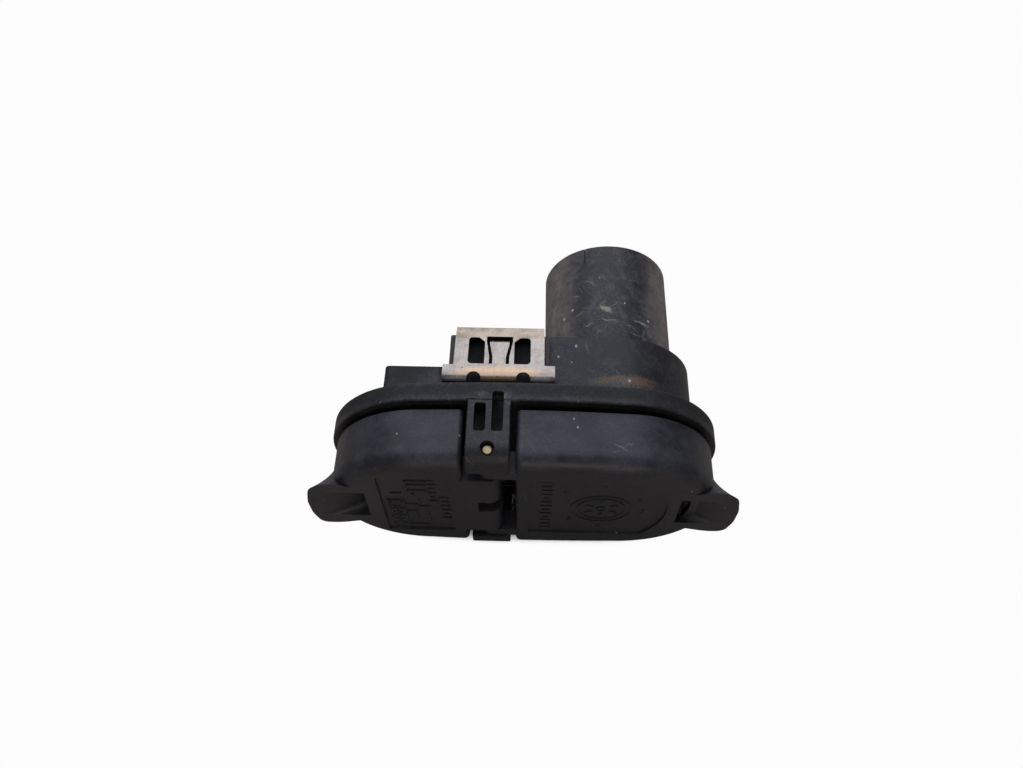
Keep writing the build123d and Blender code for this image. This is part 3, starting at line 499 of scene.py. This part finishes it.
tubeNylon, place, colour, gloss, dent = nylonSurface("glassFilledNylonTube", shroudLook)
# the brown haze and a painted sheen down both sides of the tube
colour = hazeAndSheenOver(tubeNylon, place, colour, tubeHazeAndSheen)
for stain in shroudStains:
    colour = stainAndPaintedLightWith(tubeNylon, place, colour, **stain)
finishSurface(tubeNylon, colour, gloss, dent)
dress(["rear_shroud"], tubeNylon)


# lids: the same nylon from smoother tools, so bluer, more satin and less dusty in front

lidLook = dict(housingLook, base="#1f2025", pale="#32343c", dustColour="#5f616b", dust=0.5, powder=0.55,
               cloudMm=15, mottle=0.4, frontDust=0.14, roughness=0.44, scratches=0.16, scratchMm=18,
               swirl=0.16)
lidStains = [
    # crossed scratches on the round lid's top, then two pale dots
    {"tone": "#8b8d95", "edgeMm": 0.5, "torn": 2.4, "strayMm": 3.0, "soft": 0.9,
     "spots": [
         ((27.4, -18.4, 28.5), (3.2, 0.5, 2), -25, 0.5), ((29.5, -17.6, 28.4), (2.4, 0.35, 2), 30, 0.4),
         ((25.8, -19.6, 28.4), (1.8, 0.3, 2), 10, 0.35)]},
    {"tone": "#cfd0d2", "edgeMm": 0.5, "torn": 0.6,
     "spots": [
         ((14.2, -10.1, 29.2), (0.3, 0.45, 1), 0, 0.85), ((15.3, -12.8, 29.1), (0.35, 0.5, 1), 0, 0.85)]},
]

lidNylon, place, colour, gloss, dent = nylonSurface("satinNylonLid", lidLook)
for stain in lidStains:
    colour = stainAndPaintedLightWith(lidNylon, place, colour, **stain)
finishSurface(lidNylon, colour, gloss, dent)
dress(["round_lid", "flat_lid"], lidNylon)


# clips: spring sheet

# Spring stainless, rolled and stamped: fine rolling lines along the strip, a faint warm heat tint
# at the front fold with a painted highlight on the fold's ends, small dull stains and a few rust dots.
sheetLook = {
    "base": "#b1aaa3", "dark": "#756b64", "rust": "#7b4f2e",
    "roughness": 0.3, "glossFrom": 0.3, "glossFull": 0.7, "glossLess": 0.08, "glossMore": 0.12,
    "lineMm": 0.35, "lineStretch": 0.05, "lineDeep": 0.01,   # real rolling lines are finer, these show
    "stainMm": 5, "stainFrom": 0.46, "stainFull": 0.7, "stainMost": 0.7,
    "dotMm": 2.6, "dotRadius": 0.09, "dotBare": 0.8,         # a dot's cell, its share of it, bare cells
}
sheetTintAndHighlight = [
    # the warm tint along the front fold
    {"tone": "#d9b893", "edgeMm": 3.0, "torn": 1.2, "spots": [((-7.7, 4.0, 30), (18, 3.4, 5), 0, 0.7)]},
    # painted highlight on the fold's ends
    {"tone": "#f7f3ec", "edgeMm": 2.0, "torn": 0.5,
     "spots": [((-19.5, 2.2, 29.3), (5.0, 1.3, 1.2), 0, 0.9), ((4.5, 2.4, 29.3), (5.0, 1.3, 1.2), 0, 0.9)]},
]

stainless = newMaterial("rolledStainlessSpringSheet")
place = addNode(stainless, "ShaderNodeTexCoord").outputs["Object"]
lengthways = addNode(stainless, "ShaderNodeMapping",
                     {"Scale": (1, sheetLook["lineStretch"], sheetLook["lineStretch"])}, {"Vector": place})
rolling = addNode(stainless, "ShaderNodeTexNoise",
                  {"Scale": 1 / (sheetLook["lineMm"] * mm), "Detail": 3.0, "Roughness": 0.6},
                  {"Vector": lengthways.outputs[0]})
dulling = addNode(stainless, "ShaderNodeTexNoise",
                  {"Scale": 1 / (sheetLook["stainMm"] * mm), "Detail": 6.0, "Roughness": 0.65},
                  {"Vector": place})
dulled = addNode(stainless, "ShaderNodeMapRange",
                 {"From Min": sheetLook["stainFrom"], "From Max": sheetLook["stainFull"],
                  "To Max": sheetLook["stainMost"]}, {"Value": dulling.outputs[0]})
metal = addNode(stainless, "ShaderNodeMix",
                {"data_type": "RGBA", 6: fromHex(sheetLook["base"]), 7: fromHex(sheetLook["dark"])},
                {0: dulled.outputs[0]}).outputs[2]
# the warm tint, then the painted highlight on the fold's ends
for sheetOverlay in sheetTintAndHighlight:
    metal = stainAndPaintedLightWith(stainless, place, metal, **sheetOverlay)
cells = addNode(stainless, "ShaderNodeTexVoronoi", {"Scale": 1 / (sheetLook["dotMm"] * mm)},
                {"Vector": place})
dotNear = addNode(stainless, "ShaderNodeMath", {"operation": "LESS_THAN", 1: sheetLook["dotRadius"]},
                  {0: cells.outputs["Distance"]})
drawn = addNode(stainless, "ShaderNodeSeparateColor", None, {0: cells.outputs["Color"]})
dotRare = addNode(stainless, "ShaderNodeMath", {"operation": "GREATER_THAN", 1: sheetLook["dotBare"]},
                  {0: drawn.outputs[0]})
dot = addNode(stainless, "ShaderNodeMath", {"operation": "MULTIPLY"},
              {0: dotNear.outputs[0], 1: dotRare.outputs[0]})
rusted = addNode(stainless, "ShaderNodeMix", {"data_type": "RGBA", 7: fromHex(sheetLook["rust"])},
                 {0: dot.outputs[0], 6: metal})
sheen = addNode(stainless, "ShaderNodeMapRange",
                {"From Min": sheetLook["glossFrom"], "From Max": sheetLook["glossFull"],
                 "To Min": sheetLook["roughness"] - sheetLook["glossLess"],
                 "To Max": sheetLook["roughness"] + sheetLook["glossMore"]}, {"Value": rolling.outputs[0]})
ridge = addNode(stainless, "ShaderNodeBump", {"Strength": 0.2, "Distance": sheetLook["lineDeep"] * mm},
                {"Height": rolling.outputs[0]})
sheet = addNode(stainless, "ShaderNodeBsdfPrincipled", {"Metallic": 1.0},
                {"Base Color": rusted.outputs[2], "Roughness": sheen.outputs[0], "Normal": ridge.outputs[0]})
addNode(stainless, "ShaderNodeOutputMaterial", None, {"Surface": sheet.outputs[0]})
dress(["top_clip", "bottom_clip"], stainless)


# plain metals and rubbers: each with its own grain in mm

simpleLooks = {
    # turned brass, dulled: a pale yellow cut end, and near black along the rest
    "turnedBrassPin": {"base": "#cdbd98", "dark": "#a38d5f", "metallic": 1.0, "roughness": 0.45,
                       "grainMm": 0.5, "darkShank": ((-9.9, -21.1, -2.0), (3.0, 3.0, 24.0), 0, 0.95),
                       "on": ["hinge_pin"]},
    # stamped brass strip: clean, fairly bright, with a slight cloudiness
    "stampedBrassContact": {"base": "#b8975a", "dark": "#8c6f3e", "metallic": 1.0, "roughness": 0.3,
                            "grainMm": 0.8,
                            "on": ["centre_contact_pin", "flat_male_pin"]
                            + [f"contact_blade_{i}" for i in range(1, 7)]
                            + [f"flat_sleeve_{i}" for i in range(1, 4)]
                            + [f"flat_lead_{i}" for i in range(1, 5)]},
    # drawn steel wire: dark with oil and with painted shade for the shadow it sits in, half matt
    "oiledSpringWireWithPaintedShade": {"base": "#2e2b29", "dark": "#1e1c1a", "metallic": 1.0, "roughness": 0.55,
                        "grainMm": 0.4, "on": ["round_lid_spring", "flat_lid_spring"]},
    # moulded rubber: black, matt, slightly blotched
    "mouldedSealRubber": {"base": "#1b1b1c", "dark": "#121212", "metallic": 0.0, "roughness": 0.72,
                          "grainMm": 1.2,
                          "on": ["round_lid_seal", "flat_lid_seal", "carrier_seal", "flat_contact_block"]},
    # unfilled nylon, moulded: dark grey, cleaner and smoother than the housing
    "plainNylonCarrier": {"base": "#26272a", "dark": "#18191b", "metallic": 0.0, "roughness": 0.5,
                          "grainMm": 0.9, "on": ["contact_carrier", "terminal_guide"]},
}
simpleGrain = {
    "darkFrom": 0.35, "darkFull": 0.7, "glossLess": 0.06, "glossMore": 0.1,
    "bump": 0.3, "deep": 0.02,   # mm
}

for name, look in simpleLooks.items():
    finish = newMaterial(name)
    place = addNode(finish, "ShaderNodeTexCoord").outputs["Object"]
    grain = addNode(finish, "ShaderNodeTexNoise",
                    {"Scale": 1 / (look["grainMm"] * mm), "Detail": 5.0, "Roughness": 0.65},
                    {"Vector": place})
    tone = addNode(finish, "ShaderNodeMapRange",
                   {"From Min": simpleGrain["darkFrom"], "From Max": simpleGrain["darkFull"]},
                   {"Value": grain.outputs[0]})
    mixed = addNode(finish, "ShaderNodeMix",
                    {"data_type": "RGBA", 6: fromHex(look["base"]), 7: fromHex(look["dark"])},
                    {0: tone.outputs[0]}).outputs[2]
    if "darkShank" in look:
        mixed = stainAndPaintedLightWith(finish, place, mixed, [look["darkShank"]], "#24211d", 1.0, 0.2)
    rough = addNode(finish, "ShaderNodeMapRange",
                    {"To Min": look["roughness"] - simpleGrain["glossLess"],
                     "To Max": look["roughness"] + simpleGrain["glossMore"]}, {"Value": grain.outputs[0]})
    bump = addNode(finish, "ShaderNodeBump",
                   {"Strength": simpleGrain["bump"], "Distance": simpleGrain["deep"] * mm},
                   {"Height": grain.outputs[0]})
    shader = addNode(finish, "ShaderNodeBsdfPrincipled", {"Metallic": look["metallic"]},
                     {"Base Color": mixed, "Roughness": rough.outputs[0], "Normal": bump.outputs[0]})
    addNode(finish, "ShaderNodeOutputMaterial", None, {"Surface": shader.outputs[0]})
    dress(look["on"], finish)
print("stage: materials")


# raised marks in the lids' panels, all in mm

markStyle = {
    "floorY": -24.5, "rise": 0.24,         # the panels' floor, and how far a mark stands forward of it
    "sunk": 0.1,                           # extra depth, so that a mark starts inside the lid
    "drawnIn": 0.12, "crown": 0.06,        # a bar's face is drawn in and forward, as a moulded mark's is
    "ringSides": 64,
    "textSunk": 0.05, "textBold": 0.05,    # a number's middle behind the floor, and its thicker strokes
}


def raisedBar(x, z, width, height):
    # one raised bar on the panel's floor
    middleY = markStyle["floorY"] - markStyle["rise"] / 2
    depth = markStyle["rise"] + markStyle["sunk"]
    deselect()
    bpy.ops.mesh.primitive_cube_add(size=1, location=(x * mm, middleY * mm, z * mm),
                                    scale=(width * mm, depth * mm, height * mm))
    bar = bpy.context.object
    settle(bar)
    bpy.ops.object.mode_set(mode="EDIT")
    bpy.ops.mesh.select_mode(type="FACE")
    bpy.ops.mesh.select_all(action="DESELECT")
    pickFaces(bar, lambda centre, normal: normal.y < -0.9)   # its front
    bpy.ops.mesh.inset(thickness=markStyle["drawnIn"] * mm, depth=markStyle["crown"] * mm)
    bpy.ops.object.mode_set(mode="OBJECT")
    return bar


def raisedRing(x, z, outer, inner):
    # one raised ring: a disc whose inside is cut away, then drawn forward
    backY = markStyle["floorY"] + markStyle["sunk"]
    depth = markStyle["rise"] + markStyle["sunk"]
    deselect()
    bpy.ops.mesh.primitive_circle_add(vertices=markStyle["ringSides"], radius=outer * mm,
                                      fill_type="NGON", location=(x * mm, backY * mm, z * mm),
                                      rotation=(math.radians(90), 0, 0))
    ring = bpy.context.object
    settle(ring)
    bpy.ops.object.mode_set(mode="EDIT")
    bpy.ops.mesh.select_mode(type="FACE")
    bpy.ops.mesh.select_all(action="SELECT")
    bpy.ops.mesh.inset(thickness=(outer - inner) * mm)
    bpy.ops.mesh.delete(type="FACE")
    bpy.ops.mesh.select_all(action="SELECT")
    bpy.ops.mesh.extrude_region_move(TRANSFORM_OT_translate={"value": (0, -depth * mm, 0)})
    bpy.ops.mesh.select_all(action="SELECT")
    bpy.ops.mesh.normals_make_consistent(inside=False)
    bpy.ops.object.mode_set(mode="OBJECT")
    return ring


def raisedNumber(text, x, z, size):
    # a plain number, made a mesh before its place is applied
    middleY = markStyle["floorY"] + markStyle["textSunk"]
    deselect()
    bpy.ops.object.text_add(location=(x * mm, middleY * mm, z * mm), rotation=(math.radians(90), 0, 0))
    number = bpy.context.object
    number.data.body = text
    number.data.size = size * mm
    number.data.align_x = "CENTER"
    number.data.align_y = "CENTER"
    number.data.extrude = markStyle["rise"] * mm
    number.data.offset = markStyle["textBold"] * mm
    bpy.ops.object.convert(target="MESH")
    number = bpy.context.object
    settle(number)
    return number


def raisedRibs(x, top, bottom, widths, height):
    # a column of short ribs where the real lid has words, left generic
    step = (top - bottom) / (len(widths) - 1)
    return [raisedBar(x, top - index * step, width, height) for index, width in enumerate(widths)]


def joinMarks(marks, name, material, body):
    deselect()
    for mark in marks:
        mark.select_set(True)
    bpy.context.view_layer.objects.active = marks[0]
    bpy.ops.object.join()
    piece = bpy.context.object
    piece.name = name
    piece.data.name = name
    coat(piece, material)
    settle(piece)
    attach(piece, body)


roundPanel = {
    "ringX": 23.9, "ringZ": -0.5, "rings": ((9.3, 8.8), (7.4, 6.9), (1.6, 1.0)),   # outer and inner radii
    "spokeAt": 4.4, "spokeLong": 2.2, "spokeWide": 0.8, "numberSize": 3.2,
    "numbers": ((24.2, 14.2), (35.0, 6.3), (36.6, -1.8), (23.8, -13.9), (14.4, -8.3), (12.8, 10.8)),
    "ribX": 7.2, "ribTop": 16.6, "ribBottom": -15.6, "ribHigh": 1.5,
    "ribWidths": (3.4, 2.6, 3.4, 3.4, 1.4, 3.0, 3.4, 2.2, 3.4, 1.4, 3.4, 2.8, 3.4),
}

marks = [raisedRing(roundPanel["ringX"], roundPanel["ringZ"], outer, inner)
         for outer, inner in roundPanel["rings"]]
for index, (x, z) in enumerate(roundPanel["numbers"]):
    marks.append(raisedNumber(str(index + 1), x, z, roundPanel["numberSize"]))
    angle = math.radians(90 - 360 / len(roundPanel["numbers"]) * index)
    spoke = raisedBar(0, 0, roundPanel["spokeLong"], roundPanel["spokeWide"])
    spoke.rotation_euler = (0, -angle, 0)
    spoke.location = ((roundPanel["ringX"] + roundPanel["spokeAt"] * math.cos(angle)) * mm, 0,
                      (roundPanel["ringZ"] + roundPanel["spokeAt"] * math.sin(angle)) * mm)
    settle(spoke)
    marks.append(spoke)
marks += raisedRibs(roundPanel["ribX"], roundPanel["ribTop"], roundPanel["ribBottom"],
                    roundPanel["ribWidths"], roundPanel["ribHigh"])
joinMarks(marks, "roundLidMarks", lidNylon, "round_lid_body")

flatPanel = {
    "circleX": -38.2, "circles": (0.3, -4.8, -10.0, -15.6), "circleOuter": 2.2, "circleInner": 1.7,
    "numberSize": 2.4, "ribHigh": 1.2,
    # x, z, width and height of each bar
    "frame": ((-40.7, -7.7, 0.45, 21.4), (-35.8, -7.7, 0.45, 21.4),
              (-38.25, 2.9, 5.3, 0.45), (-38.25, -18.2, 5.3, 0.45)),
    "leads": ((-33.4, 0.0, 4.6, 0.5), (-34.0, -5.1, 2.8, 0.5), (-32.1, -15.0, 6.6, 0.5),
              (-29.8, -1.4, 4.0, 0.5), (-31.2, 1.6, 0.5, 3.4), (-32.6, -8.0, 0.5, 6.2),
              (-28.8, -11.0, 0.5, 7.8)),
    "bars": ((-31.2, 16.0, 6.4, 0.9), (-31.2, 13.4, 6.4, 0.9), (-31.2, 9.6, 6.4, 0.9),
             (-34.2, 12.8, 0.8, 7.0), (-37.6, 7.6, 3.2, 0.8), (-32.7, 7.0, 1.1, 1.1)),
    # x, top, bottom and the ribs' widths of each column
    "columns": ((-26.8, 16.4, 2.4, (1.8, 2.4, 1.8, 2.4, 1.2, 2.4)),
                (-23.4, 4.6, -10.0, (3.0, 2.2, 3.0, 3.0, 1.6, 3.0))),
}

marks = []
for index, z in enumerate(flatPanel["circles"]):
    marks.append(raisedRing(flatPanel["circleX"], z, flatPanel["circleOuter"], flatPanel["circleInner"]))
    marks.append(raisedNumber(str(index + 1), flatPanel["circleX"], z, flatPanel["numberSize"]))
for x, z, width, height in flatPanel["frame"] + flatPanel["leads"] + flatPanel["bars"]:
    marks.append(raisedBar(x, z, width, height))
for x, top, bottom, widths in flatPanel["columns"]:
    marks += raisedRibs(x, top, bottom, widths, flatPanel["ribHigh"])
joinMarks(marks, "flatLidMarks", lidNylon, "flat_lid_body")
print("stage: raised marks")

# smooth shading by angle on every CAD node
smoothBelow = 28   # degrees
for node in nodes.values():
    deselect()
    node.select_set(True)
    bpy.context.view_layer.objects.active = node
    bpy.ops.object.shade_smooth_by_angle(angle=math.radians(smoothBelow))
print("stage: shading")
